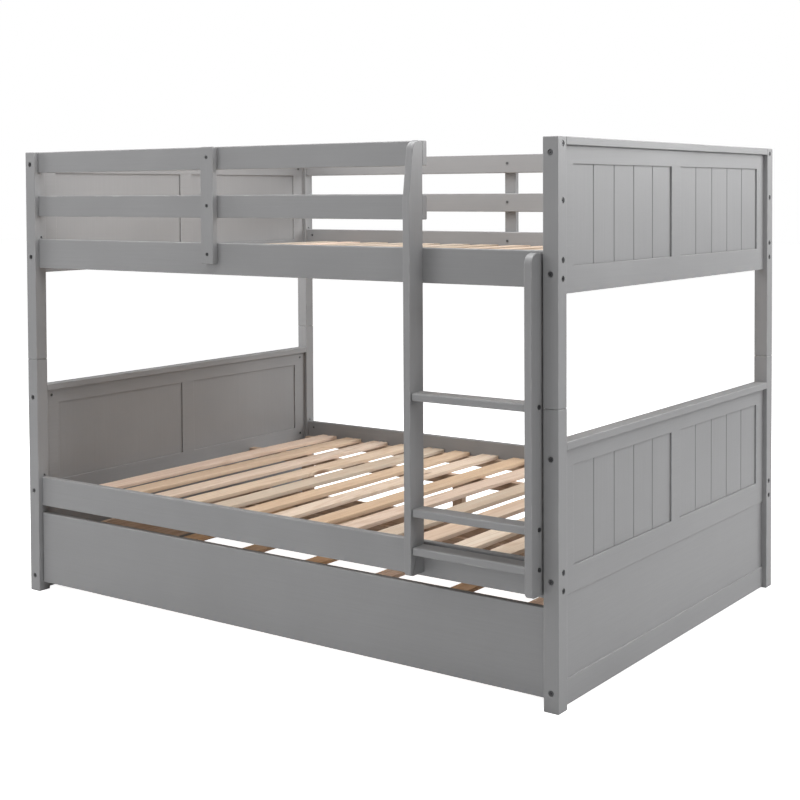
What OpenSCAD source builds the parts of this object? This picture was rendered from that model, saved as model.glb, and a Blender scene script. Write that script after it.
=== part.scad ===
// Full over full bunk bed with a front ladder and a roll-out trundle underneath.
// +X runs along the bed, the ladder and the trundle face -Y, +Z is up.
// The origin is on the floor, at the middle of the overall length and depth.

/* [Overall] */
// Length over the posts
bed_l = 2040; // [2010:1:2120]
// Width over the posts
bed_w = 1468; // [1440:1:1520]
// Height of the upper posts' tops above the floor
bed_h = 1480; // [1460:1:1600]
// Height at which each post divides into a lower and an upper length
split_z = 784; // [770:1:800]

/* [Timber] */
// Side of the square posts
post = 45; // [44:1:55]
// Thickness of the rails, guard rails and ladder stiles
board_t = 22; // [20:1:24]
// Height of the four side rails
rail_h = 96; // [90:1:105]
// Height of the guard rails
guard_h = 69; // [60:1:72]
// Distance from the posts' faces to the side rails
rail_set = 15; // [12:1:18]
// Thickness of the end frames
frame_t = 18; // [16:1:22]
// Thickness of the grooved boards and of the skirts
panel_t = 8; // [6:1:8]
// Thickness of every slat
slat_t = 13; // [12:1:18]

/* [End frames] */
// Height of the cap rail between the posts
cap_h = 21; // [18:1:24]
// Height of an end frame from its lower edge to the top of its cap
end_h = 404; // [398:1:406]
// Distance from the top of the cap to the grooved boards
end_head = 69; // [64:1:72]
// Height of the grooved boards
field_h = 264; // [250:1:266]
// Width of the outer stiles
stile_w = 60; // [50:1:66]
// Width of the centre stile
mullion_w = 62; // [50:1:66]
// Number of boards shown between two stiles
boards = 5; // [4:1:6]

/* [Ladder] */
// Depth of the ladder's stiles, from front to back
ladder_d = 64; // [60:1:70]
// Right face of the left stile, from the middle of the bed
ladder_left_x = 593; // [560:1:620]
// Gap between the right stile and its post
ladder_gap = 5; // [4:1:14]
// Thickness of the rungs
rung_t = 22; // [20:1:25]

/* [Trundle] */
// Height of the trundle's front above the floor
front_z = 30; // [28:1:40]
// Top of the trundle's front
front_top = 266; // [255:1:270]
// Clear width for a single mattress, from the front to the back board
trundle_clear = 996; // [994:1:1000]
// Diameter of the trundle's wheels
wheel_d = 50; // [48:1:52]

/* [Hidden] */
$fn = 48;
eps = 0.01;

// Names and signs of the four corners: x to the right, y to the back
FL = [-1, -1];
FR = [1, -1];
BL = [-1, 1];
BR = [1, 1];
CORNERS = [FL, FR, BL, BR];

// The ladder stands out in front of the posts and the back stile stands out behind them
ladder_out = ladder_d - rail_set;
stile_out = board_t - rail_set;
y_front = -(bed_w + ladder_out + stile_out) / 2 + ladder_out;
y_back = y_front + bed_w;
y_mid = (y_front + y_back) / 2;
post_x = (bed_l - post) / 2;
post_y = (bed_w - post) / 2;
inner_x = bed_l / 2 - post;
inner_y = bed_w / 2 - post;

// The upper bed rests on the lower one, drawn with a hairline between them
lift_gap = 0.5;

// Heights of the rails
lower_rail_z = 290;
upper_rail_z = 1093;
guard_top_z = bed_h - guard_h;
guard_mid_z = 1265;
lower_end_z = split_z - 88 - end_h;
upper_end_z = bed_h - end_h;
slat_top = 48;
bearer_w = 22;
bearer_h = slat_top - slat_t;

// Slats
slat_w = 74;
slat_pitch = 132;
slat_count = 14;
slat_len = bed_w - 2 * (rail_set + board_t + 2);

// Support beam of the lower bed, behind the trundle, and its legs
beam_w = 30;
beam_h = 35;
beam_y = y_front + 1094;
leg_x = 700;
leg_w = 40;

// Guard stiles
guard_stile_w = 48;
front_stile_x = -185;
guard_stile_z = upper_rail_z + 33;
guard_screw_z = [upper_rail_z + 62, guard_mid_z + 37, guard_top_z + 37];

// Ladder
ladder_right_x = inner_x - ladder_gap;
ladder_foot_z = lower_rail_z + 11;
ladder_short_top = upper_rail_z + 91;
rung_z = [370, 474, 789];
rung_front = 5;
rung_back = 3;
rung_bolt_y = y_front - ladder_out + ladder_d / 2 + 4;
ladder_fix_z = upper_rail_z + 57;
toe_r = 14;
crown_r = 130;
crown_gap = 2;
shoulder_r = 27;
stile_taper = 18;
stile_taper_h = 160;

// Bolts: M6 with a socket head, sunk in a pocket, screwed into a cross dowel
bolt_d = 6;
bolt_hole_d = 6.6;
head_d = 13;
head_h = 5;
pocket_d = 16;
pocket_h = 7;
hex_key = 5.8;
key_depth = 3;
bolt_reach = 38;
dowel_d = 10;
dowel_hole_d = 10.2;
dowel_len = 13;
dowel_in = 28;
dowel_skin = 2;
rail_bolt_gap = 48;
skirt_bolt = 52;
lower_frame_bolts = [lower_end_z + 48, lower_end_z + 364];
lower_panel_bolts = concat([skirt_bolt], lower_frame_bolts);
upper_panel_bolts = [upper_end_z + 53, upper_end_z + 363];
guard_bolts = [guard_mid_z + 52, guard_top_z + 51];
rail_axis = rail_set + board_t / 2 - post / 2;

// Small bolts with domed heads: the ladder's and the guard stiles'
dome_d = 12;
dome_h = 3;
small_head_d = 10;
small_key = 4.8;
ladder_bolt_reach = 40;

// Blind peg holes in the posts, just above the side rails
peg_hole_d = 8;
peg_hole_depth = 12;
peg_above_rail = 6;

// Pins that hold the upper posts on the lower ones
pin_d = 10;
pin_clear = 0.1;
pin_len = 80;

// Skirt below each lower end frame
skirt_z = 4;
skirt_rail_h = 68;
skirt_t = 10;

// Grooves between the boards
groove_w = 6;
groove_depth = 2.5;
field_w = (2 * inner_y - 2 * stile_w - mullion_w) / 2;
field_y = (mullion_w + field_w) / 2;

// Trundle
trundle_gap = 2;
trundle_side_t = 15;
trundle_half = inner_x - 6;
trundle_y0 = y_front + rail_set;
trundle_y1 = trundle_y0 + board_t + trundle_clear;
trundle_side_z = 62;
trundle_side_h = 126;
trundle_slat_w = 66;
trundle_slat_pitch = 282;
trundle_slat_z = 118;
trundle_beam_y = [trundle_y0 + 345, trundle_y0 + 728];
trundle_bearer_h = 25;
block_w = 60;
wheel_w = 20;
wheel_x = trundle_half - trundle_side_t - block_w / 2;
wheel_y = [trundle_y0 + 95, trundle_y1 - 95];
axle_d = 8;
axle_clear = 0.1;
fork_t = 3;
fork_in = wheel_w + 3;
fork_plate = 54;
fork_ear = 26;
tyre_step = 2;
hub_d = axle_d + 10;

GREY = [0.55, 0.55, 0.55];
PINE = [0.86, 0.72, 0.56];
STEEL = [0.35, 0.35, 0.37];
BLACK = [0.12, 0.12, 0.13];

// A box given by its centre in x and y and its two heights
module bar(cx, cy, z0, z1, dx, dy) {
    translate([cx - dx / 2, cy - dy / 2, z0]) cube([dx, dy, z1 - z0]);
}

// Puts a corner's parts, drawn for the front right, at another corner
module at_corner(c) {
    translate([c[0] * post_x, y_mid + c[1] * post_y, 0])
        mirror([c[0] < 0 ? 1 : 0, 0, 0])
            mirror([0, c[1] > 0 ? 1 : 0, 0])
                children();
}

// Points along -Y, into the post's outer y face, at the height z
module panel_axis(z) {
    translate([0, -post / 2, z]) rotate([-90, 0, 0]) children();
}

// Points along -X, into the post's outer x face, at the height z
module rail_axis_at(z) {
    translate([post / 2, rail_axis, z]) rotate([0, -90, 0]) children();
}

// The hole for one bolt through a post, along +Z from its face
module bolt_hole() {
    translate([0, 0, -1]) cylinder(d = pocket_d, h = pocket_h + 1);
    cylinder(d = bolt_hole_d, h = post + 1);
}

// A bolt with its cross dowel; the dowel lies along the bolt's own Y when turn is 0
module bolt(reach, turn) {
    shank = post - pocket_h + reach;
    difference() {
        translate([0, 0, pocket_h - head_h]) cylinder(d = head_d, h = head_h);
        translate([0, 0, pocket_h - head_h - 1]) cylinder(d = hex_key, h = key_depth + 1, $fn = 6);
    }
    translate([0, 0, pocket_h - eps]) cylinder(d = bolt_d, h = shank);
    if (reach > 0)
        translate([0, 0, post + dowel_in])
            rotate([0, 0, turn])
                rotate([-90, 0, 0]) cylinder(d = dowel_d, h = dowel_len, center = true);
}

// ---------------------------------------------------------------- posts

module post_length(z0, z1, panel_z, rail_z, peg_z) {
    difference() {
        translate([-post / 2, -post / 2, z0]) cube([post, post, z1 - z0]);
        for (z = panel_z)
            panel_axis(z) bolt_hole();
        for (z = rail_z)
            rail_axis_at(z) bolt_hole();
        translate([-post / 2 - 1, rail_axis, peg_z])
            rotate([0, 90, 0]) cylinder(d = peg_hole_d, h = peg_hole_depth + 1);
        translate([0, 0, split_z - pin_len / 2]) cylinder(d = pin_d + 2 * pin_clear, h = pin_len);
    }
}

function rail_bolt_z(z0) = [z0 + (rail_h - rail_bolt_gap) / 2, z0 + (rail_h + rail_bolt_gap) / 2];

module post_lower(c) {
    color(GREY)
        at_corner(c)
            post_length(0, split_z, lower_panel_bolts, rail_bolt_z(lower_rail_z),
                lower_rail_z + rail_h + peg_above_rail);
}

module post_upper(c) {
    color(GREY)
        at_corner(c)
            post_length(split_z + lift_gap, bed_h, upper_panel_bolts,
                concat(rail_bolt_z(upper_rail_z), guard_bolts), upper_rail_z + rail_h + peg_above_rail);
}

module post_pins() {
    color(STEEL)
        for (c = CORNERS)
            at_corner(c)
                translate([0, 0, split_z - pin_len / 2 + eps]) cylinder(d = pin_d, h = pin_len - 1);
}

// ---------------------------------------------------------------- ends

// Bores for the bolt and the cross dowel in the two ends of an end frame's rail
module frame_bores(side, z) {
    for (c = [[side, -1], [side, 1]])
        at_corner(c) {
            panel_axis(z) translate([0, 0, post - 1]) cylinder(d = bolt_hole_d, h = bolt_reach + 4);
            translate([-frame_t / 2 - 1, post / 2 + dowel_in, z])
                rotate([0, 90, 0]) cylinder(d = dowel_hole_d, h = frame_t + 1 - dowel_skin);
        }
}

module cap(side, z1) {
    color(GREY) bar(side * post_x, y_mid, z1 - cap_h, z1, post, 2 * inner_y);
}

module end_frame(side, z0, bolt_z) {
    color(GREY)
        difference() {
            bar(side * post_x, y_mid, z0, z0 + end_h - cap_h, frame_t, 2 * inner_y);
            for (s = [-1, 1])
                bar(side * post_x, y_mid + s * field_y, z0 + end_h - end_head - field_h,
                    z0 + end_h - end_head, frame_t + 2, field_w);
            for (z = bolt_z)
                frame_bores(side, z);
        }
}

// Outline of one field of grooved boards, seen from above, with its grooves on the +x side
function groove(y) = [
    [panel_t / 2, y - groove_w / 2],
    [panel_t / 2 - groove_depth, y],
    [panel_t / 2, y + groove_w / 2]
];
function field_outline(w) = concat(
    [[-panel_t / 2, w / 2], [-panel_t / 2, -w / 2], [panel_t / 2, -w / 2]],
    [for (i = [1 : boards - 1]) each groove(-w / 2 + i * w / boards)],
    [[panel_t / 2, w / 2]]
);

module end_boards(side, z0) {
    color(GREY)
        for (s = [-1, 1])
            translate([side * post_x, y_mid + s * field_y, z0 + end_h - end_head - field_h])
                mirror([side < 0 ? 1 : 0, 0, 0])
                    linear_extrude(height = field_h) polygon(field_outline(field_w));
}

module skirt(side) {
    color(GREY)
        difference() {
            union() {
                bar(side * post_x, y_mid, skirt_z + skirt_rail_h - eps, lower_end_z, skirt_t, 2 * inner_y);
                bar(side * post_x, y_mid, skirt_z, skirt_z + skirt_rail_h, frame_t, 2 * inner_y);
            }
            frame_bores(side, skirt_bolt);
        }
}

// ---------------------------------------------------------------- side rails and slats

// A board between the posts, on the front or the back, with bolt bores in the ends named
module rail(face, z0, h, bolt_z, x0, x1, ends, set) {
    cy = y_mid + face * (bed_w / 2 - set - board_t / 2);
    difference() {
        translate([x0, cy - board_t / 2, z0]) cube([x1 - x0, board_t, h]);
        for (e = ends)
            for (z = bolt_z)
                at_corner([e, face]) {
                    rail_axis_at(z) translate([0, 0, post - 1]) cylinder(d = bolt_hole_d, h = bolt_reach + 4);
                    translate([-post / 2 - dowel_in, rail_axis - dowel_len / 2 - lift_gap, z])
                        rotate([-90, 0, 0]) cylinder(d = dowel_hole_d, h = board_t);
                }
    }
}

module side_rail(face, z0, set) {
    color(GREY) rail(face, z0, rail_h, rail_bolt_z(z0), -inner_x, inner_x, [-1, 1], set);
}

// Strips along the side rails that the slats lie on
module strips(z0, set) {
    for (face = [-1, 1])
        bar(0, y_mid + face * (bed_w / 2 - set - board_t - bearer_w / 2),
            z0, z0 + bearer_h, 2 * inner_x - 2, bearer_w);
}

module lower_bearers() {
    top = lower_rail_z + bearer_h;
    color(PINE) {
        strips(lower_rail_z, rail_set + lift_gap);
        bar(0, beam_y, top - beam_h, top, 2 * post_x - frame_t, beam_w);
    }
}

module upper_bearers() {
    color(PINE) {
        strips(upper_rail_z, rail_set);
        bar(0, y_mid, upper_end_z, upper_rail_z + bearer_h, 2 * post_x - frame_t, beam_w);
    }
}

module slat_row(z0) {
    color(PINE)
        for (i = [0 : slat_count - 1])
            bar((i - (slat_count - 1) / 2) * slat_pitch, y_mid, z0, z0 + slat_t, slat_w, slat_len);
}

module lower_legs() {
    color(PINE)
        for (i = [-1 : 1])
            bar(i * leg_x, beam_y, 0, lower_rail_z + bearer_h - beam_h, leg_w, beam_w);
}

// ---------------------------------------------------------------- guard rails

module guard_rail_front(z0, bolt_z) {
    color(GREY)
        difference() {
            rail(-1, z0, guard_h, [bolt_z], -inner_x, ladder_left_x, [-1], rail_set);
            guard_stile_bores(-1, front_stile_x);
            ladder_fixings() cylinder(d = bolt_hole_d, h = board_t + ladder_bolt_reach + 1);
        }
}

module guard_rail_back(z0, bolt_z) {
    color(GREY)
        difference() {
            rail(1, z0, guard_h, [bolt_z], -inner_x, inner_x, [-1, 1], rail_set);
            guard_stile_bores(1, 0);
        }
}

// Holes for the three bolts that hold a guard stile on its rails
module guard_stile_bores(face, x) {
    cy = y_mid + face * (bed_w / 2 - rail_set);
    for (z = guard_screw_z)
        translate([x, cy, z])
            rotate([90, 0, 0]) cylinder(d = bolt_hole_d, h = 2 * board_t + 2, center = true);
}

module upper_side_rail(face) {
    color(GREY)
        difference() {
            rail(face, upper_rail_z, rail_h, rail_bolt_z(upper_rail_z), -inner_x, inner_x, [-1, 1], rail_set);
            guard_stile_bores(face, face < 0 ? front_stile_x : 0);
            ladder_fixings() cylinder(d = bolt_hole_d, h = board_t + ladder_bolt_reach + 1);
        }
}

module guard_stile(face, x) {
    cy = y_mid + face * (bed_w / 2 - rail_set + board_t / 2);
    color(GREY)
        difference() {
            bar(x, cy, guard_stile_z, bed_h, guard_stile_w, board_t);
            guard_stile_bores(face, x);
            for (z = guard_screw_z)
                translate([x, cy + face * (board_t / 2 - dome_h - 1), z])
                    rotate([-face * 90, 0, 0]) cylinder(d = dome_d, h = dome_h + 2);
        }
}

// Bolts of the guard stiles: a sunk socket head outside, a round nut inside
module guard_stile_bolts() {
    color(STEEL)
        for (g = [[-1, front_stile_x], [1, 0]])
            for (z = guard_screw_z)
                translate([g[1], y_mid + g[0] * (bed_w / 2 - rail_set + board_t), z])
                    rotate([g[0] * 90, 0, 0]) {
                        difference() {
                            translate([0, 0, 1]) cylinder(d = small_head_d, h = dome_h);
                            cylinder(d = small_key, h = dome_h, $fn = 6);
                        }
                        translate([0, 0, 1 + dome_h - eps]) cylinder(d = bolt_d, h = 2 * board_t - dome_h);
                        translate([0, 0, 2 * board_t]) cylinder(d = small_head_d, h = 2);
                    }
}

// ---------------------------------------------------------------- ladder

// Side view of a stile: a low crowned top, rounded front corners, and a front edge
// that goes back by the taper on its way up to the shoulder
module stile_outline(z0, z1, taper) {
    shoulder_z = z1 - crown_gap - shoulder_r;
    difference() {
        intersection() {
            translate([0, z0]) square([ladder_d, z1 - z0]);
            union() {
                translate([ladder_d / 2, z1 - crown_r]) circle(r = crown_r, $fn = 180);
                translate([0, z0]) square([ladder_d, z1 - z0 - crown_r / 2]);
            }
        }
        translate([0, z0]) corner_cut(toe_r);
        translate([taper, z1 - crown_gap]) mirror([0, 1]) corner_cut(shoulder_r);
        if (taper > 0)
            polygon([[-1, z1 - stile_taper_h], [0, z1 - stile_taper_h],
                [taper, shoulder_z], [taper, z1 + 1], [-1, z1 + 1]]);
    }
}

// What rounding the corner at the origin takes away
module corner_cut(r) {
    difference() {
        translate([-1, -1 - r / 8]) square([r + 1, r + 1 + r / 8]);
        translate([r, r]) circle(r = r);
    }
}

module ladder_stile(x1, z1, taper) {
    color(GREY)
        difference() {
            translate([x1 - board_t, y_front - ladder_out, 0])
                rotate([90, 0, 90])
                    linear_extrude(height = board_t) stile_outline(ladder_foot_z, z1, taper);
            for (z = rung_z)
                along_x(x1 - board_t - 1, z) cylinder(d = bolt_hole_d, h = board_t + 2);
            ladder_fixings() cylinder(d = bolt_hole_d, h = board_t + ladder_bolt_reach + 1);
        }
}

// Points along +X from x through the middle of the rung at the height z
module along_x(x, z) {
    translate([x, rung_bolt_y, z]) rotate([0, 90, 0]) children();
}

// Points along -Y from the rails' inner faces into the stiles
module ladder_fixings() {
    left = ladder_left_x - board_t / 2;
    right = ladder_right_x - board_t / 2;
    for (p = [[left, ladder_fix_z], [right, ladder_fix_z],
            [left, guard_mid_z + guard_h / 2], [left, guard_top_z + guard_h / 2]])
        translate([p[0], y_front + rail_set + board_t, p[1]]) rotate([90, 0, 0]) children();
}

module ladder_rung(z) {
    x0 = ladder_left_x;
    x1 = ladder_right_x - board_t;
    bore = ladder_bolt_reach + 2;
    color(GREY)
        difference() {
            translate([x0, y_front - ladder_out + rung_front, z - rung_t / 2])
                cube([x1 - x0, ladder_d - rung_front - rung_back, rung_t]);
            for (x = [x0 - 1, x1 - bore + 1])
                along_x(x, z) cylinder(d = bolt_hole_d, h = bore);
        }
}

// A bolt with a domed head, along +Z from the face that the head lies on
module dome_bolt() {
    difference() {
        translate([0, 0, -dome_h]) cylinder(d = dome_d, h = dome_h);
        translate([0, 0, -dome_h - 1]) cylinder(d = small_key, h = dome_h, $fn = 6);
    }
    translate([0, 0, -eps]) cylinder(d = bolt_d, h = board_t + ladder_bolt_reach - 1);
}

// Two bolts for each rung, and those that hold the stiles on the upper rails
module ladder_bolts() {
    color(STEEL) {
        for (z = rung_z) {
            along_x(ladder_left_x - board_t, z) dome_bolt();
            along_x(ladder_right_x, z) mirror([0, 0, 1]) dome_bolt();
        }
        ladder_fixings() dome_bolt();
    }
}

// ---------------------------------------------------------------- bolts in the posts

module post_bolts(panel_z, rail_z) {
    for (c = CORNERS)
        at_corner(c) {
            for (z = panel_z)
                panel_axis(z) bolt(bolt_reach, 90);
            for (z = rail_z)
                rail_axis_at(z) bolt(bolt_reach, 0);
        }
}

module lower_bolts() {
    color(STEEL) post_bolts(lower_panel_bolts, rail_bolt_z(lower_rail_z));
}

// The guard rails' bolts are in every post; beside the ladder they close unused holes
module upper_bolts() {
    color(STEEL) {
        post_bolts(upper_panel_bolts, rail_bolt_z(upper_rail_z));
        for (c = CORNERS)
            at_corner(c)
                for (z = guard_bolts)
                    rail_axis_at(z) bolt(c == FR ? -1 : bolt_reach, 0);
    }
}

// ---------------------------------------------------------------- trundle

module trundle_front() {
    color(GREY)
        translate([-inner_x + trundle_gap, trundle_y0, front_z])
            cube([2 * (inner_x - trundle_gap), board_t, front_top - front_z]);
}

module trundle_back() {
    color(PINE)
        translate([-trundle_half, trundle_y1, trundle_side_z])
            cube([2 * trundle_half, trundle_side_t, trundle_side_h]);
}

module trundle_side(side) {
    color(PINE)
        bar(side * (trundle_half - trundle_side_t / 2), (trundle_y0 + board_t + trundle_y1) / 2,
            trundle_side_z, trundle_side_z + trundle_side_h, trundle_side_t, trundle_clear);
}

// Strips for the slats along the front and the back, two beams and four blocks for the casters
module trundle_bearers() {
    half = trundle_half - trundle_side_t;
    z0 = trundle_slat_z - trundle_bearer_h;
    color(PINE) {
        bar(0, trundle_y0 + board_t + bearer_w / 2, z0, trundle_slat_z, 2 * half, bearer_w);
        bar(0, trundle_y1 - bearer_w / 2, z0, trundle_slat_z, 2 * half, bearer_w);
        for (y = trundle_beam_y)
            bar(0, y, trundle_side_z, trundle_slat_z, 2 * half, beam_w);
        for (x = [-wheel_x, wheel_x])
            for (y = wheel_y)
                bar(x, y, trundle_side_z, trundle_slat_z, block_w, block_w);
    }
}

module trundle_slats() {
    color(PINE)
        for (i = [-2.5 : 1 : 2.5])
            bar(i * trundle_slat_pitch, (trundle_y0 + board_t + trundle_y1) / 2,
                trundle_slat_z, trundle_slat_z + slat_t, trundle_slat_w, trundle_clear - 4);
}

// Puts a part, drawn with the wheel's centre at the origin, at each of the four wheels
module at_wheels() {
    for (x = [-wheel_x, wheel_x])
        for (y = wheel_y)
            translate([x, y, wheel_d / 2]) children();
}

module caster_forks() {
    top = trundle_side_z - wheel_d / 2;
    color(STEEL)
        at_wheels()
            difference() {
                union() {
                    bar(0, 0, top - fork_t, top, fork_plate, fork_plate);
                    for (s = [-1, 1])
                        bar(s * (fork_in + fork_t) / 2, 0, -axle_d, top - fork_t + eps, fork_t, fork_ear);
                }
                rotate([0, 90, 0]) cylinder(d = axle_d + eps, h = block_w, center = true);
            }
}

module caster_axles() {
    color(STEEL)
        at_wheels()
            rotate([0, 90, 0]) {
                cylinder(d = axle_d, h = fork_in + 2 * fork_t, center = true);
                for (s = [-1, 1])
                    translate([0, 0, s * (fork_in / 2 + fork_t + 1)])
                        cylinder(d = axle_d + 3, h = 2, center = true);
            }
}

module wheel(sx, i) {
    color(BLACK)
        translate([sx * wheel_x, wheel_y[i], wheel_d / 2])
            rotate([0, 90, 0])
                difference() {
                    union() {
                        cylinder(d = wheel_d, h = wheel_w - 2 * tyre_step, center = true, $fn = 96);
                        cylinder(d = wheel_d - 2 * tyre_step, h = wheel_w, center = true, $fn = 96);
                    }
                    for (s = [-1, 1])
                        translate([0, 0, s * (wheel_w - tyre_step) / 2])
                            difference() {
                                cylinder(d = wheel_d - 14, h = tyre_step + eps, center = true);
                                cylinder(d = hub_d, h = 2 * tyre_step, center = true);
                            }
                    cylinder(d = axle_d + axle_clear, h = wheel_w + 2, center = true);
                }
}

// ---------------------------------------------------------------- nodes

post_lower(FL);  // post_lower_front_left
post_lower(FR);  // post_lower_front_right
post_lower(BL);  // post_lower_back_left
post_lower(BR);  // post_lower_back_right
post_upper(FL);  // post_upper_front_left
post_upper(FR);  // post_upper_front_right
post_upper(BL);  // post_upper_back_left
post_upper(BR);  // post_upper_back_right
cap(-1, lower_end_z + end_h);  // lower_cap_left
cap(1, lower_end_z + end_h);  // lower_cap_right
end_frame(-1, lower_end_z, lower_frame_bolts);  // lower_frame_left
end_frame(1, lower_end_z, lower_frame_bolts);  // lower_frame_right
end_boards(-1, lower_end_z);  // lower_boards_left
end_boards(1, lower_end_z);  // lower_boards_right
skirt(-1);  // skirt_left
skirt(1);  // skirt_right
cap(-1, bed_h);  // upper_cap_left
cap(1, bed_h);  // upper_cap_right
end_frame(-1, upper_end_z, upper_panel_bolts);  // upper_frame_left
end_frame(1, upper_end_z, upper_panel_bolts);  // upper_frame_right
end_boards(-1, upper_end_z);  // upper_boards_left
end_boards(1, upper_end_z);  // upper_boards_right
side_rail(-1, lower_rail_z, rail_set + lift_gap);  // lower_rail_front
side_rail(1, lower_rail_z, rail_set + lift_gap);  // lower_rail_back
upper_side_rail(-1);  // upper_rail_front
upper_side_rail(1);  // upper_rail_back
lower_bearers();
upper_bearers();
slat_row(lower_rail_z + bearer_h);  // lower_slats
slat_row(upper_rail_z + bearer_h);  // upper_slats
lower_legs();
guard_rail_front(guard_top_z, guard_bolts[1]);  // guard_top_front
guard_rail_front(guard_mid_z, guard_bolts[0]);  // guard_mid_front
guard_rail_back(guard_top_z, guard_bolts[1]);  // guard_top_back
guard_rail_back(guard_mid_z, guard_bolts[0]);  // guard_mid_back
guard_stile(-1, front_stile_x);  // guard_stile_front
guard_stile(1, 0);  // guard_stile_back
ladder_stile(ladder_left_x, bed_h, stile_taper);  // ladder_stile_left
ladder_stile(ladder_right_x, ladder_short_top, 0);  // ladder_stile_right
ladder_rung(rung_z[0]);  // ladder_rung_low
ladder_rung(rung_z[1]);  // ladder_rung_mid
ladder_rung(rung_z[2]);  // ladder_rung_high
post_pins();
lower_bolts();
upper_bolts();
guard_stile_bolts();
ladder_bolts();
trundle_front();
trundle_back();
trundle_side(-1);  // trundle_side_left
trundle_side(1);  // trundle_side_right
trundle_bearers();
trundle_slats();
caster_forks();
caster_axles();
wheel(-1, 0);  // wheel_front_left
wheel(1, 0);  // wheel_front_right
wheel(-1, 1);  // wheel_back_left
wheel(1, 1);  // wheel_back_right
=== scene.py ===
"""Bunk bed with ladder and trundle: the looks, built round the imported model.

Lengths are in metres, in the part's own frame: +X along the bed, the front faces -Y, +Z up.
"""

import math
import random

import bmesh
import bpy
from mathutils import Matrix, Vector


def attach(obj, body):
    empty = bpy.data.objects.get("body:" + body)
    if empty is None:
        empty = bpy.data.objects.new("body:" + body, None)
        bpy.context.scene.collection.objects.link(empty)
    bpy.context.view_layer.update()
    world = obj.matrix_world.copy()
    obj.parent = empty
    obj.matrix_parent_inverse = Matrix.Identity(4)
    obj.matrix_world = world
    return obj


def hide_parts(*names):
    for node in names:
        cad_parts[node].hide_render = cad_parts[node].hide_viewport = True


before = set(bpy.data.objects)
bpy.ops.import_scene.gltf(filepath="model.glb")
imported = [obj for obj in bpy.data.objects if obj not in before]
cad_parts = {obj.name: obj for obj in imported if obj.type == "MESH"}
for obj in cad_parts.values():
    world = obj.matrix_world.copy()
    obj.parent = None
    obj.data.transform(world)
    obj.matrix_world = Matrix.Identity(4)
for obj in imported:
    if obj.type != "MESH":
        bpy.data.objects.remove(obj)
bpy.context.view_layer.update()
scene = bpy.context.scene

# ---------------------------------------------------------------- camera

CAMERA_PLACE = Vector((2.7865, -3.8651, 1.3373))
CAMERA_TURN = math.radians(35.615)
CAMERA_TILT = math.radians(-1.822)
CAMERA_LEAN = math.radians(0.286)
SENSOR_MM = 36.0
LENS_MM = 63.91
SHIFT_Y = -0.2021

# ---------------------------------------------------------------- light

SURROUND = 0.12
SURROUND_SEEN = 1.0
FLOOR_SEEN = 0.92
FLOOR_REACH = 30.0

# name, place, point it faces, width, height, watts
SOFTBOXES = (
    ("over", (0.0, -0.3, 3.6), (0.0, 0.0, 0.6), 3.2, 2.0, 104.0),
    ("over_front", (0.2, -1.7, 3.4), (0.0, 0.0, 0.6), 3.2, 1.8, 28.0),
    ("right_back", (3.2, 3.2, 2.6), (0.0, 0.0, 0.9), 2.4, 2.4, 142.0),
    ("right_front", (5.2, -0.95, 2.5), (0.0, -0.6, 0.9), 1.4, 2.0, 42.0),
    ("right_high", (2.3, 0.0, 2.9), (1.0, 0.0, 1.3), 2.4, 1.0, 14.0),
    ("front_left", (-2.4, -4.6, 2.4), (0.0, 0.0, 0.7), 2.6, 2.0, 46.0),
    ("front_low", (1.0, -5.2, 1.4), (0.0, 0.0, 0.6), 3.0, 2.0, 21.0),
    ("left", (-3.6, -0.6, 1.8), (0.0, 0.0, 0.9), 2.4, 2.4, 98.0),
)

# ---------------------------------------------------------------- colours

PAINT = (0.262, 0.262, 0.266)
# Lighter paint for the rounded arrises: partly rubbed wear, partly a painted highlight along the edges.
PAINT_WORN_AND_HIGHLIT = (0.36, 0.36, 0.355)
PINE_PALE = (0.90, 0.775, 0.64)
PINE_PINK = (0.84, 0.66, 0.55)
PINE_TAN = (0.74, 0.545, 0.37)
PINE_GREY = (0.66, 0.58, 0.48)
PINE_RINGS = (0.58, 0.385, 0.24)
# The upper slats' pine: the same wood as the lower slats, in darker colours as painted shade.
UPPER_SHADED_PALE = (0.54, 0.465, 0.39)
UPPER_SHADED_TAN = (0.46, 0.355, 0.26)
UPPER_SHADED_GREY = (0.41, 0.365, 0.315)
UPPER_SHADED_RINGS = (0.35, 0.245, 0.16)
TRUNDLE_PALE = (0.74, 0.565, 0.40)
TRUNDLE_TAN = (0.66, 0.43, 0.25)
TRUNDLE_GREY = (0.55, 0.44, 0.34)
TRUNDLE_RINGS = (0.47, 0.27, 0.14)
BEARER_PALE = (0.50, 0.37, 0.26)
BEARER_TAN = (0.40, 0.27, 0.17)
BEARER_RINGS = (0.27, 0.165, 0.10)
KNOT = (0.25, 0.125, 0.06)
KNOT_SHARE = 0.62

# ---------------------------------------------------------------- arrises

# Widths of the rounded strips. An edge is rounded if it is longer than RIM_EDGE and folds by
# more than ARRIS_FOLD, so the short edges round small bores stay sharp.
EDGE_POST = 0.0022
EDGE_RAIL = 0.003
EDGE_PANEL = 0.0015
EDGE_GROOVE = 0.0005
EDGE_STILE = 0.002
EDGE_RUNG = 0.005
EDGE_SLAT = 0.0015
RIM_EDGE = 0.0013
ARRIS_FOLD = math.radians(40)
FLAT_FOLD = math.radians(0.5)
WELD_GAP = 1e-5


# ================================================================ shader helpers


def new_material(name):
    """A node material; returns it with its tree and its Principled node."""
    material = bpy.data.materials.new(name)
    material.use_nodes = True
    tree = material.node_tree
    return material, tree, tree.nodes["Principled BSDF"]


def add(tree, kind, inputs=None, links=None, **settings):
    """One shader node, with its settings, its plain input values and its linked inputs."""
    made = tree.nodes.new("ShaderNode" + kind)
    for key, value in settings.items():
        setattr(made, key, value)
    for key, value in (inputs or {}).items():
        made.inputs[key].default_value = value
    for key, source in (links or {}).items():
        tree.links.new(source, made.inputs[key])
    return made


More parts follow.
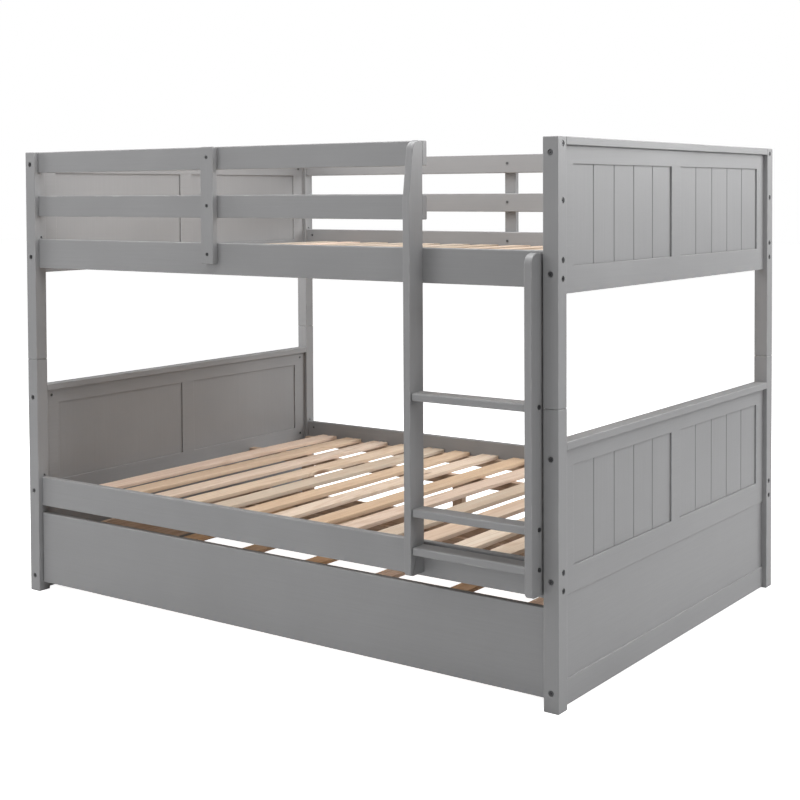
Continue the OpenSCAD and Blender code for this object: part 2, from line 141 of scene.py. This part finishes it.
def math_node(tree, operation, a, b=0.0):
    """The result of one Math node; a and b are sockets or numbers."""
    made = tree.nodes.new("ShaderNodeMath")
    made.operation = operation
    for index, value in enumerate((a, b)):
        if isinstance(value, (int, float)):
            made.inputs[index].default_value = value
        else:
            tree.links.new(value, made.inputs[index])
    return made.outputs[0]


def mix_colour(tree, factor, a, b, blend="MIX"):
    """The result of mixing two colours.

    Each of a and b may be a socket or a colour, and factor a socket or a number.
    """
    made = tree.nodes.new("ShaderNodeMix")
    made.data_type = "RGBA"
    made.blend_type = blend
    made.clamp_factor = True
    for key, value in (("Factor_Float", factor), ("A_Color", a), ("B_Color", b)):
        socket = next(s for s in made.inputs if s.identifier == key)
        if isinstance(value, bpy.types.NodeSocket):
            tree.links.new(value, socket)
        elif key == "Factor_Float":
            socket.default_value = value
        else:
            socket.default_value = (*value, 1.0)
    return next(s for s in made.outputs if s.identifier == "Result_Color")


def place(tree):
    """Where a point is in the part's own frame, in metres."""
    return add(tree, "TexCoord").outputs["Object"]


def stretched(tree, vector, along, across, length):
    """The vector scaled for marks that run along one axis: cycles per metre across it and along it."""
    scale = [across, across, across]
    scale["XYZ".index(along)] = length
    return add(tree, "Mapping", {"Scale": scale}, {"Vector": vector}).outputs["Vector"]


def noise(tree, vector, scale, detail=2.0, roughness=0.5):
    """A noise value from 0 to 1."""
    made = add(
        tree, "TexNoise",
        {"Scale": scale, "Detail": detail, "Roughness": roughness},
        {"Vector": vector},
    )
    return made.outputs["Fac"]


def ramp(tree, value, low, high, out_low=0.0, out_high=1.0):
    """The value carried from low..high to out_low..out_high, held at the ends."""
    made = add(
        tree, "MapRange",
        {"From Min": low, "From Max": high, "To Min": out_low, "To Max": out_high},
        {"Value": value},
    )
    return made.outputs["Result"]


def bump(tree, shader, layers):
    """Bumps laid one over another; each layer is (height socket, depth in metres, strength)."""
    normal = None
    for height, depth, strength in layers:
        made = add(tree, "Bump", {"Distance": depth, "Strength": strength}, {"Height": height})
        if normal is not None:
            tree.links.new(normal, made.inputs["Normal"])
        normal = made.outputs["Normal"]
    tree.links.new(normal, shader.inputs["Normal"])


# ================================================================ materials


def paint(along, worn_and_highlit=False):
    """Satin grey paint sprayed over planed wood, whose grain shows faintly along one axis. On the
    arrises it goes lighter in streaks, partly as rubbed wear and partly as a painted highlight.
    """
    material, tree, shader = new_material(f"paint_{'edge' if worn_and_highlit else 'face'}_{along}")
    where = place(tree)
    patches = noise(tree, where, 3.2, 3.0)
    grain = noise(tree, stretched(tree, where, along, 230.0, 5.0), 1.0, 3.0, 0.55)
    peel = noise(tree, where, 780.0, 1.0)
    dust = noise(tree, where, 2600.0, 0.0)
    light = tuple(c * 1.05 for c in PAINT)
    dark = tuple(c * 0.95 for c in PAINT)
    colour = mix_colour(tree, ramp(tree, patches, 0.3, 0.7), dark, light)
    deep = tuple(c * 0.9 for c in PAINT)
    colour = mix_colour(tree, ramp(tree, grain, 0.35, 0.75, 0.0, 0.35), colour, deep)
    # On the arrises the paint goes lighter in noisy streaks: partly rubbed wear, partly a painted
    # highlight.
    if worn_and_highlit:
        rub_and_highlight = noise(tree, stretched(tree, where, along, 60.0, 14.0), 1.0, 4.0, 0.6)
        colour = mix_colour(tree, ramp(tree, rub_and_highlight, 0.48, 0.68, 0.0, 0.75), colour, PAINT_WORN_AND_HIGHLIT)
    tree.links.new(colour, shader.inputs["Base Color"])
    tree.links.new(ramp(tree, patches, 0.25, 0.75, 0.40, 0.50), shader.inputs["Roughness"])
    shader.inputs["Specular IOR Level"].default_value = 0.42
    bump(tree, shader, [(grain, 0.00035, 0.35), (peel, 0.00012, 0.4), (dust, 0.00004, 0.3)])
    return material


def board_number(tree):
    """The random number from 0 to 1 that each plank's mesh carries."""
    return add(tree, "Attribute", attribute_name="board", attribute_type="GEOMETRY").outputs["Fac"]


def pine(name, along, pale, tan, grey, rings_colour):
    """Raw planed pine: growth rings, pores, a few knots, and a tone of its own for each plank."""
    material, tree, shader = new_material(name)
    number = board_number(tree)
    shift = add(tree, "CombineXYZ", links={
        "X": math_node(tree, "MULTIPLY", number, 37.0),
        "Y": math_node(tree, "MULTIPLY", number, 91.0),
        "Z": math_node(tree, "MULTIPLY", number, 53.0),
    }).outputs["Vector"]
    where = add(tree, "VectorMath", links={0: place(tree), 1: shift}, operation="ADD").outputs["Vector"]

    cells = add(
        tree, "TexVoronoi", {"Scale": 1.0, "Randomness": 1.0},
        {"Vector": stretched(tree, where, along, 11.0, 2.6)},
    )
    near_knot = ramp(tree, cells.outputs["Distance"], 0.0, 0.30, 1.0, 0.0)
    cell_colour = add(tree, "SeparateColor", links={"Color": cells.outputs["Color"]})
    kept = math_node(tree, "GREATER_THAN", cell_colour.outputs["Red"], KNOT_SHARE)
    swirl = math_node(tree, "MULTIPLY", math_node(tree, "POWER", near_knot, 2.0), kept)

    field = noise(tree, stretched(tree, where, along, 9.0, 0.55), 1.0, 1.5, 0.4)
    field = math_node(
        tree, "ADD", math_node(tree, "MULTIPLY", field, 21.0), math_node(tree, "MULTIPLY", swirl, 2.4)
    )
    rings = math_node(tree, "SINE", math_node(tree, "MULTIPLY", field, 6.283))
    late_wood = ramp(tree, rings, 0.15, 1.0)
    pores = noise(tree, stretched(tree, where, along, 620.0, 9.0), 1.0, 3.0, 0.6)
    streaks = noise(tree, stretched(tree, where, along, 42.0, 0.8), 1.0, 2.0)
    stain = noise(tree, stretched(tree, where, along, 16.0, 2.2), 1.0, 3.0, 0.6)
    fuzz = noise(tree, where, 1500.0, 1.0)

    def plank_share(offset, low, high, most):
        own = math_node(tree, "ADD", number, offset)
        drawn = add(tree, "TexWhiteNoise", links={"W": own}, noise_dimensions="1D")
        return ramp(tree, drawn.outputs["Value"], low, high, 0.0, most)

    base = mix_colour(tree, plank_share(0.0, 0.30, 0.75, 0.9), pale, PINE_PINK)
    base = mix_colour(tree, plank_share(3.7, 0.45, 0.9, 0.95), base, tan)
    base = mix_colour(tree, plank_share(8.1, 0.55, 1.0, 0.85), base, grey)
    colour = mix_colour(tree, ramp(tree, streaks, 0.3, 0.75, 0.0, 0.30), base, rings_colour)
    colour = mix_colour(tree, ramp(tree, stain, 0.50, 0.80, 0.0, 0.30), colour, grey)
    colour = mix_colour(tree, math_node(tree, "MULTIPLY", late_wood, 0.30), colour, rings_colour)
    colour = mix_colour(tree, ramp(tree, pores, 0.45, 0.8, 0.0, 0.22), colour, rings_colour)
    core = math_node(tree, "MULTIPLY", ramp(tree, cells.outputs["Distance"], 0.06, 0.13, 1.0, 0.0), kept)
    colour = mix_colour(tree, math_node(tree, "MULTIPLY", core, 0.8), colour, KNOT)
    tree.links.new(colour, shader.inputs["Base Color"])
    tree.links.new(ramp(tree, pores, 0.3, 0.8, 0.62, 0.82), shader.inputs["Roughness"])
    shader.inputs["Specular IOR Level"].default_value = 0.3
    bump(tree, shader, [(late_wood, 0.0003, 0.3), (pores, 0.0004, 0.45), (fuzz, 0.0001, 0.4)])
    return material


def metal(name, colour, dark, roughness, scale):
    """Plain hardware metal with a mottled plating and rubbed spots."""
    material, tree, shader = new_material(name)
    where = place(tree)
    mottle = noise(tree, where, scale, 4.0, 0.6)
    scratch = noise(tree, stretched(tree, where, "X", 2400.0, 300.0), 1.0, 2.0)
    tint = mix_colour(tree, ramp(tree, mottle, 0.35, 0.7), dark, colour)
    tree.links.new(tint, shader.inputs["Base Color"])
    sheen = ramp(tree, mottle, 0.3, 0.7, roughness + 0.1, roughness - 0.05)
    tree.links.new(sheen, shader.inputs["Roughness"])
    shader.inputs["Metallic"].default_value = 1.0
    bump(tree, shader, [(scratch, 0.00008, 0.35), (mottle, 0.0001, 0.25)])
    return material


def plastic(name, colour):
    """Moulded nylon with a fine spark-eroded grain and some floor dust."""
    material, tree, shader = new_material(name)
    where = place(tree)
    grain = noise(tree, where, 2200.0, 2.0)
    dust = noise(tree, where, 60.0, 4.0, 0.6)
    tint = mix_colour(tree, ramp(tree, dust, 0.52, 0.8, 0.0, 0.5), colour, (0.20, 0.19, 0.18))
    tree.links.new(tint, shader.inputs["Base Color"])
    tree.links.new(ramp(tree, dust, 0.4, 0.7, 0.42, 0.7), shader.inputs["Roughness"])
    bump(tree, shader, [(grain, 0.00015, 0.5)])
    return material


FACE_PAINT = {axis: paint(axis) for axis in "XYZ"}
# Edge paint: its lighter arris tone is partly wear and partly a painted highlight.
EDGE_PAINT = {axis: paint(axis, worn_and_highlit=True) for axis in "XYZ"}
SLAT_PINE = pine("slat_pine", "Y", PINE_PALE, PINE_TAN, PINE_GREY, PINE_RINGS)
# Upper slats: the slat pine in darker colours, a painted shade.
UPPER_SHADED_PINE = pine("upper_pine_painted_shade", "Y", UPPER_SHADED_PALE, UPPER_SHADED_TAN, UPPER_SHADED_GREY, UPPER_SHADED_RINGS)
TRUNDLE_PINE = pine("trundle_pine", "Y", TRUNDLE_PALE, TRUNDLE_TAN, TRUNDLE_GREY, TRUNDLE_RINGS)
BEARER_PINE = {
    axis: pine(f"bearer_pine_{axis}", axis, BEARER_PALE, BEARER_TAN, BEARER_TAN, BEARER_RINGS)
    for axis in "XYZ"
}
BOLT_STEEL = metal("bolt_steel", (0.20, 0.20, 0.205), (0.05, 0.05, 0.052), 0.36, 900.0)
ZINC = metal("zinc", (0.62, 0.63, 0.65), (0.40, 0.41, 0.43), 0.34, 260.0)
WHEEL_NYLON = plastic("wheel_nylon", (0.018, 0.018, 0.02))


# ================================================================ CAD nodes


def give(obj, *materials):
    """Puts materials on an object's slots, the first one on every face."""
    obj.data.materials.clear()
    for material in materials:
        obj.data.materials.append(material)


def arris_marker():
    """Geometry nodes that mark the edges to round: those of boards, not the rims of small bores.

    They also drop the imported corner normals and shade each sharp edge as a crease.
    """
    tree = bpy.data.node_groups.new("arris_marker", "GeometryNodeTree")
    tree.interface.new_socket("Geometry", in_out="INPUT", socket_type="NodeSocketGeometry")
    tree.interface.new_socket("Geometry", in_out="OUTPUT", socket_type="NodeSocketGeometry")
    source = tree.nodes.new("NodeGroupInput")
    result = tree.nodes.new("NodeGroupOutput")
    ends = tree.nodes.new("GeometryNodeInputMeshEdgeVertices")
    length = tree.nodes.new("ShaderNodeVectorMath")
    length.operation = "DISTANCE"
    tree.links.new(ends.outputs["Position 1"], length.inputs[0])
    tree.links.new(ends.outputs["Position 2"], length.inputs[1])
    fold = tree.nodes.new("GeometryNodeInputMeshEdgeAngle")
    tests = []
    limits = ((length.outputs["Value"], RIM_EDGE), (fold.outputs["Unsigned Angle"], ARRIS_FOLD))
    for value, least in limits:
        test = tree.nodes.new("ShaderNodeMath")
        test.operation = "GREATER_THAN"
        test.inputs[1].default_value = least
        tree.links.new(value, test.inputs[0])
        tests.append(test.outputs["Value"])
    both = tree.nodes.new("ShaderNodeMath")
    both.operation = "MULTIPLY"
    tree.links.new(tests[0], both.inputs[0])
    tree.links.new(tests[1], both.inputs[1])
    store = tree.nodes.new("GeometryNodeStoreNamedAttribute")
    store.data_type = "FLOAT"
    store.domain = "EDGE"
    store.inputs["Name"].default_value = "bevel_weight_edge"
    tree.links.new(both.outputs["Value"], store.inputs["Value"])
    tree.links.new(source.outputs["Geometry"], store.inputs["Geometry"])
    plain = tree.nodes.new("GeometryNodeRemoveAttribute")
    plain.inputs["Name"].default_value = "custom_normal"
    tree.links.new(store.outputs["Geometry"], plain.inputs["Geometry"])
    soft = tree.nodes.new("GeometryNodeSetShadeSmooth")
    tree.links.new(plain.outputs["Geometry"], soft.inputs[0])
    crease = tree.nodes.new("GeometryNodeSetShadeSmooth")
    crease.domain = "EDGE"
    crease.inputs["Shade Smooth"].default_value = False
    tree.links.new(soft.outputs[0], crease.inputs[0])
    tree.links.new(tests[1], crease.inputs["Selection"])
    tree.links.new(crease.outputs[0], result.inputs["Geometry"])
    return tree


ARRIS_MARKER = arris_marker()


def ease(obj, width, segments=3):
    """Rounds a CAD node's arrises by modifiers alone; the rounded strip takes the second material.

    With more than one segment the marker picks the arrises, so rims of small bores stay sharp.
    With one segment every edge that folds by more than ARRIS_FOLD is chamfered.
    """
    weld = obj.modifiers.new("weld", "WELD")
    weld.merge_threshold = WELD_GAP
    flat = obj.modifiers.new("flatten", "DECIMATE")
    flat.decimate_type = "DISSOLVE"
    flat.angle_limit = FLAT_FOLD
    if segments > 1:
        marker = obj.modifiers.new("mark", "NODES")
        marker.node_group = ARRIS_MARKER
    bevel = obj.modifiers.new("ease", "BEVEL")
    bevel.width = width
    bevel.segments = segments
    bevel.limit_method = "WEIGHT" if segments > 1 else "ANGLE"
    bevel.angle_limit = ARRIS_FOLD
    bevel.use_clamp_overlap = False
    bevel.harden_normals = segments > 1
    if len(obj.data.materials) > 1:
        bevel.material = 1


def dress_painted(node, along, width, segments=3):
    """A painted board: paint along its grain, with arrises painted lighter, partly as rubbed wear and
    partly as a painted highlight.
    """
    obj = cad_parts[node]
    give(obj, FACE_PAINT[along], EDGE_PAINT[along])
    ease(obj, width, segments)


def dress_frame():
    """Materials and eased arrises for every CAD node that stays."""
    sides = ("left", "right")
    levels = ("lower", "upper")
    for level in levels:
        for corner in ("front_left", "front_right", "back_left", "back_right"):
            dress_painted(f"post_{level}_{corner}", "Z", EDGE_POST)
        for side in sides:
            dress_painted(f"{level}_cap_{side}", "Y", EDGE_POST)
            dress_painted(f"{level}_frame_{side}", "Y", EDGE_PANEL)
            dress_painted(f"{level}_boards_{side}", "Z", EDGE_GROOVE, 1)
        for face in ("front", "back"):
            dress_painted(f"{level}_rail_{face}", "X", EDGE_RAIL)
    for side in sides:
        dress_painted(f"skirt_{side}", "Y", EDGE_PANEL)
        dress_painted(f"ladder_stile_{side}", "Z", EDGE_STILE)
    for face in ("front", "back"):
        dress_painted(f"guard_top_{face}", "X", EDGE_RAIL)
        dress_painted(f"guard_mid_{face}", "X", EDGE_RAIL)
        dress_painted(f"guard_stile_{face}", "Z", EDGE_RAIL)
    for rung in ("low", "mid", "high"):
        dress_painted(f"ladder_rung_{rung}", "X", EDGE_RUNG)
    dress_painted("trundle_front", "X", EDGE_RAIL)

    wooden = {
        "lower_bearers": "X", "upper_bearers": "X", "lower_legs": "Z", "trundle_bearers": "X",
        "trundle_back": "X", "trundle_side_left": "Y", "trundle_side_right": "Y",
    }
    for node, along in wooden.items():
        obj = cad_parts[node]
        give(obj, BEARER_PINE[along])
        ease(obj, EDGE_SLAT, 2)

    for node in ("post_pins", "lower_bolts", "upper_bolts", "guard_stile_bolts", "ladder_bolts"):
        give(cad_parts[node], BOLT_STEEL)
    for node in ("caster_forks", "caster_axles"):
        give(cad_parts[node], ZINC)
    for end in ("front", "back"):
        for side in sides:
            give(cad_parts[f"wheel_{end}_{side}"], WHEEL_NYLON)


# ================================================================ slats

SLAT_STEPS = 48
SLAT_END = 0.0012
SLAT_SHIFT = 0.009
SLAT_SKEW = 0.004
SLAT_BOW = 0.0012
SLAT_CROOK = 0.003
SLAT_TWIST = 0.009
SLAT_NARROWER = -0.005
SLAT_WIDER = 0.003
SLAT_WANE = 0.0011
SLAT_FOLD = math.radians(50)


def solids_of(node):
    """The box of each separate solid in a CAD node, from left to right."""
    bm = bmesh.new()
    bm.from_mesh(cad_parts[node].data)
    bmesh.ops.remove_doubles(bm, verts=bm.verts, dist=WELD_GAP)
    waiting = set(bm.verts)
    boxes = []
    while waiting:
        edge = [waiting.pop()]
        found = []
        while edge:
            vert = edge.pop()
            found.append(vert.co.copy())
            for link in vert.link_edges:
                other = link.other_vert(vert)
                if other in waiting:
                    waiting.remove(other)
                    edge.append(other)
        low = Vector([min(p[i] for p in found) for i in range(3)])
        high = Vector([max(p[i] for p in found) for i in range(3)])
        boxes.append((low, high))
    bm.free()
    return sorted(boxes, key=lambda box: box[0].x)


def rounded_section(width, height, radius, steps=3):
    """Points round a rectangle with rounded corners, centred on the origin."""
    points = []
    for quarter in range(4):
        cx = (width / 2 - radius) * (1 if quarter in (0, 3) else -1)
        cz = (height / 2 - radius) * (1 if quarter in (0, 1) else -1)
        for step in range(steps + 1):
            angle = (quarter + step / steps) * math.pi / 2
            points.append((cx + radius * math.cos(angle), cz + radius * math.sin(angle)))
    return points


def add_slat(bm, layer, low, high, rng):
    """One rough-sawn slat along Y: a little out of place, bowed, crooked, twisted and waney."""
    centre = (low + high) / 2
    size = high - low
    shift = rng.uniform(-SLAT_SHIFT, SLAT_SHIFT)
    skew = rng.uniform(-SLAT_SKEW, SLAT_SKEW)
    bow = rng.uniform(0.0, SLAT_BOW)
    crook = rng.uniform(-SLAT_CROOK, SLAT_CROOK)
    twist = rng.uniform(-SLAT_TWIST, SLAT_TWIST)
    width = size.x + rng.uniform(SLAT_NARROWER, SLAT_WIDER)
    phase = [rng.uniform(0.0, math.tau) for _ in range(4)]
    number = rng.random()
    stations = [0.0, SLAT_END]
    stations += [size.y * i / SLAT_STEPS for i in range(1, SLAT_STEPS)]
    stations += [size.y - SLAT_END, size.y]
    rings = []
    for index, along in enumerate(stations):
        t = 2 * along / size.y - 1
        end = index in (0, len(stations) - 1)
        inset = EDGE_SLAT * 0.8 if end else 0.0
        turn = Matrix.Rotation(twist * t, 3, "Y")
        wander = 0.0006 * math.sin(9.0 * t + phase[0]) + 0.0004 * math.sin(23.0 * t + phase[1])
        ring = []
        for px, pz in rounded_section(width - 2 * inset, size.z - 2 * inset, EDGE_SLAT):
            side = 2 if px > 0 else 3
            wane = SLAT_WANE * max(0.0, math.sin(5.0 * t + phase[side])) * (1 if px > 0 else -1)
            x = px - (wane if pz > 0 else 0.0) + crook * (1 - t * t) + wander
            point = turn @ Vector((x, 0.0, pz + bow * (1 - t * t)))
            place_x = centre.x + shift + skew * t + point.x
            vert = bm.verts.new((place_x, low.y + along, centre.z + point.z))
            vert[layer] = number
            ring.append(vert)
        rings.append(ring)
    count = len(rings[0])
    for a, b in zip(rings, rings[1:]):
        for i in range(count):
            j = (i + 1) % count
            bm.faces.new((a[i], b[i], b[j], a[j]))
    bm.faces.new(rings[0])
    bm.faces.new(list(reversed(rings[-1])))


def object_from(bm, name, smooth_angle=None):
    """A linked object from a bmesh, smooth apart from edges sharper than smooth_angle."""
    bmesh.ops.recalc_face_normals(bm, faces=bm.faces)
    if smooth_angle is not None:
        for face in bm.faces:
            face.smooth = True
        for edge in bm.edges:
            edge.smooth = len(edge.link_faces) == 2 and edge.calc_face_angle(0.0) < smooth_angle
    mesh = bpy.data.meshes.new(name)
    bm.to_mesh(mesh)
    bm.free()
    obj = bpy.data.objects.new(name, mesh)
    scene.collection.objects.link(obj)
    return obj


def slat_row(node, body, material, seed):
    """Every slat of one bed, each a plank of its own, in place of the CAD node."""
    rng = random.Random(seed)
    bm = bmesh.new()
    layer = bm.verts.layers.float.new("board")
    for low, high in solids_of(node):
        add_slat(bm, layer, low, high, rng)
    row = object_from(bm, f"{node}_planks", SLAT_FOLD)
    give(row, material)
    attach(row, body)
    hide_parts(node)


# ================================================================ screws

SCREW_R = 0.0042
SCREW_RIM = 24
SCREW_CROWN = 0.0003
SCREW_SUNK = -0.0012
SCREW_DEEP = -0.0009
SCREW_LIFT = 0.0004
SCREW_STRAY = 0.004
SCREW_END = 0.011
SCREW_SLOT = (0.0026, 0.0006)
SCREW_FOLD = math.radians(35)


def add_screw(bm, place_at, turn):
    """A countersunk screw head seen from above, with a cross recess cut into it."""
    reach, half = SCREW_SLOT
    cross = [
        (reach, -half), (reach, half), (half, half), (half, reach), (-half, reach), (-half, half),
        (-reach, half), (-reach, -half), (-half, -half), (-half, -reach), (half, -reach), (half, -half),
    ]
    spin = Matrix.Rotation(turn, 3, "Z")

    def ring(points, height):
        return [bm.verts.new(place_at + spin @ Vector((x, y, height))) for x, y in points]

    def circle(radius):
        turns = [2 * math.pi * i / SCREW_RIM for i in range(SCREW_RIM)]
        return [(radius * math.cos(angle), radius * math.sin(angle)) for angle in turns]

    def wall(a, b):
        for i in range(len(a)):
            j = (i + 1) % len(a)
            bm.faces.new((a[i], a[j], b[j], b[i]))

    sunk = ring(circle(SCREW_R * 0.96), SCREW_SUNK)
    outer = ring(circle(SCREW_R), 0.0)
    crown = ring(circle(SCREW_R * 0.93), SCREW_CROWN)
    recess = ring(cross, SCREW_CROWN)
    floor = ring([(x * 0.8, y * 0.8) for x, y in cross], SCREW_DEEP)
    wall(sunk, outer)
    wall(outer, crown)
    wall(recess, floor)
    bm.faces.new(floor)
    edges = []
    for loop in (crown, recess):
        for i, vert in enumerate(loop):
            other = loop[(i + 1) % len(loop)]
            found = bm.edges.get((vert, other))
            edges.append(found if found is not None else bm.edges.new((vert, other)))
    bmesh.ops.triangle_fill(bm, use_beauty=True, use_dissolve=False, edges=edges)


def slat_screws(node, body, seed):
    """A screw near each end of each slat, into the bearer strip below."""
    rng = random.Random(seed)
    bm = bmesh.new()
    for low, high in solids_of(node):
        for y in (low.y + SCREW_END, high.y - SCREW_END):
            x = (low.x + high.x) / 2 + rng.uniform(-SCREW_STRAY, SCREW_STRAY)
            spot = Vector((x, y, high.z + SCREW_LIFT))
            add_screw(bm, spot, rng.uniform(0, math.pi / 2))
    heads = object_from(bm, f"{node}_screws", SCREW_FOLD)
    give(heads, ZINC)
    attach(heads, body)


# ================================================================ stage


def add_camera():
    """The camera at the picture's viewing angle."""
    data = bpy.data.cameras.new("camera")
    data.sensor_width = SENSOR_MM
    data.lens = LENS_MM
    data.shift_y = SHIFT_Y
    camera = bpy.data.objects.new("camera", data)
    camera.location = CAMERA_PLACE
    camera.rotation_euler = (math.pi / 2 + CAMERA_TILT, CAMERA_LEAN, CAMERA_TURN)
    scene.collection.objects.link(camera)
    scene.camera = camera


def add_softbox(name, place_at, aim, width, height, power):
    """A rectangular softbox at a place, facing a point."""
    data = bpy.data.lights.new(name, "AREA")
    data.shape = "RECTANGLE"
    data.size = width
    data.size_y = height
    data.energy = power
    lamp = bpy.data.objects.new(name, data)
    lamp.location = place_at
    lamp.rotation_euler = (Vector(aim) - Vector(place_at)).to_track_quat("-Z", "Y").to_euler()
    scene.collection.objects.link(lamp)


def seen_only(tree, strength, rest=0.0):
    """A strength for what the camera sees directly; light that bounces gets the rest."""
    seen = add(tree, "LightPath").outputs["Is Camera Ray"]
    return ramp(tree, seen, 0.0, 1.0, rest, strength)


def add_stage():
    """A pale floor, a white surround and soft studio light."""
    bm = bmesh.new()
    bmesh.ops.create_grid(bm, x_segments=1, y_segments=1, size=FLOOR_REACH)
    floor = object_from(bm, "floor")
    material, tree, shader = new_material("floor_white")
    cloud = noise(tree, place(tree), 1.4, 3.0)
    tree.links.new(
        mix_colour(tree, cloud, (0.79, 0.79, 0.79), (0.82, 0.82, 0.82)), shader.inputs["Base Color"]
    )
    shader.inputs["Roughness"].default_value = 0.9
    shader.inputs["Emission Color"].default_value = (1.0, 1.0, 1.0, 1.0)
    tree.links.new(seen_only(tree, FLOOR_SEEN), shader.inputs["Emission Strength"])
    give(floor, material)

    world = bpy.data.worlds.new("studio")
    world.use_nodes = True
    background = world.node_tree.nodes["Background"]
    background.inputs["Color"].default_value = (1.0, 1.0, 1.0, 1.0)
    strength = seen_only(world.node_tree, SURROUND_SEEN, SURROUND)
    world.node_tree.links.new(strength, background.inputs["Strength"])
    scene.world = world
    scene.view_settings.view_transform = "Standard"
    for name, place_at, aim, width, height, power in SOFTBOXES:
        add_softbox(name, place_at, aim, width, height, power)


# ================================================================ build

add_camera()
dress_frame()
for name, body, slot, material, seed in (
    ("lower_slats", "lower_bed", "slat_pine", SLAT_PINE, 11),
    # The upper slats take the darker painted-shade copy of the pine.
    ("upper_slats", "upper_bed", "slat_pine", UPPER_SHADED_PINE, 23),
    ("trundle_slats", "trundle", "trundle_slat", TRUNDLE_PINE, 37),
):
    slat_row(name, body, material, seed)
    slat_screws(name, body, seed + 1)
add_stage()
